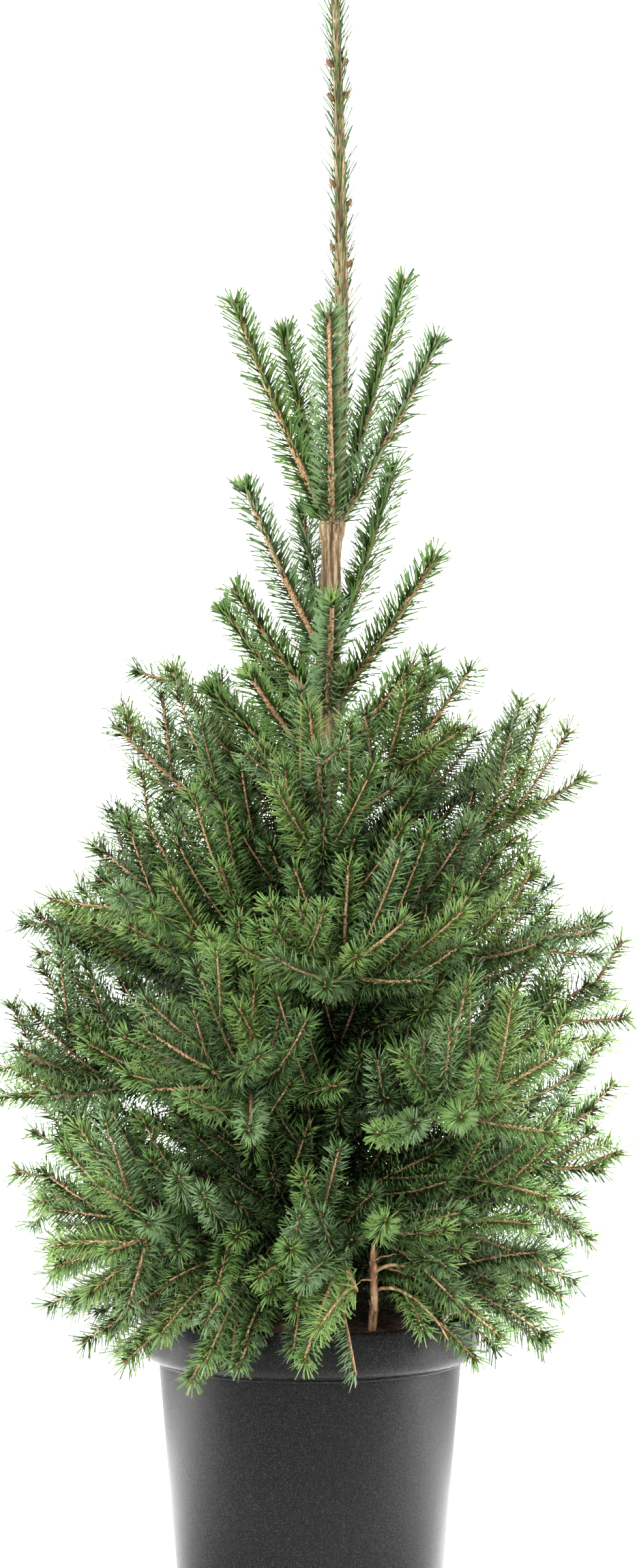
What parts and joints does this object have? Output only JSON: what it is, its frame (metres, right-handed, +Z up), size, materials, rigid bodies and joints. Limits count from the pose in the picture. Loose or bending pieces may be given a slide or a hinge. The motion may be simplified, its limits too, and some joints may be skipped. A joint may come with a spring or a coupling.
{
  "type": "potted serbian spruce, young conifer in a round nursery container",
  "caption": "Young serbian spruce with a tall leading shoot and layered, upturned branches, growing in a round tapered anthracite plastic container",
  "frame": {"origin": "centre of the pot's flat underside, which is the plane z = 0", "axes": "+Z up along the pot's axis, -Y towards the viewer of the front, +X to the viewer's right"},
  "size_m": [0.521, 0.4964, 1.262],
  "materials": {
    "anthracite_plastic": "satin moulded plastic with a very fine speckle",
    "root_mat": "moist brown fibrous root mat",
    "bark": "tan brown bark with upright fibrous streaks",
    "needles": "mid to dark green needles, lighter at the tips",
    "dead_bark": "dry peeling bark"
  },
  "bodies": {
    "root": {"pot": "anthracite_plastic", "root_ball": "root_mat", "trunk": "bark", "dead_stem": "dead_bark", "leader": "needles", "top_shoot_1": "needles", "top_shoot_2": "needles", "top_shoot_3": "needles", "top_shoot_4": "needles", "top_shoot_5": "needles", "upper_shoot_1": "needles", "upper_shoot_2": "needles", "upper_shoot_3": "needles", "upper_shoot_4": "needles", "upper_shoot_5": "needles", "upper_shoot_6": "needles", "upper_shoot_7": "needles", "middle_shoot_1": "needles", "middle_shoot_2": "needles", "middle_shoot_3": "needles", "middle_shoot_4": "needles", "middle_shoot_5": "needles", "high_mass_1": "needles", "high_mass_2": "needles", "high_mass_3": "needles", "high_mass_4": "needles", "high_mass_5": "needles", "high_mass_6": "needles", "high_mass_7": "needles", "high_mass_8": "needles", "broad_mass_1": "needles", "broad_mass_2": "needles", "broad_mass_3": "needles", "broad_mass_4": "needles", "broad_mass_5": "needles", "broad_mass_6": "needles", "main_1_mass": "needles", "main_2_mass": "needles", "main_3_mass": "needles", "main_4_mass": "needles", "main_5_mass": "needles", "main_6_mass": "needles", "low_1_mass": "needles", "low_2_mass": "needles", "low_3_mass": "needles", "low_4_mass": "needles", "low_5_mass": "needles", "low_6_mass": "needles", "main_1_bough": "bark", "main_2_bough": "bark", "main_3_bough": "bark", "main_4_bough": "bark", "main_5_bough": "bark", "main_6_bough": "bark", "low_1_bough": "bark", "low_2_bough": "bark", "low_3_bough": "bark", "low_4_bough": "bark", "low_5_bough": "bark", "low_6_bough": "bark"}
  },
  "joints": []
}
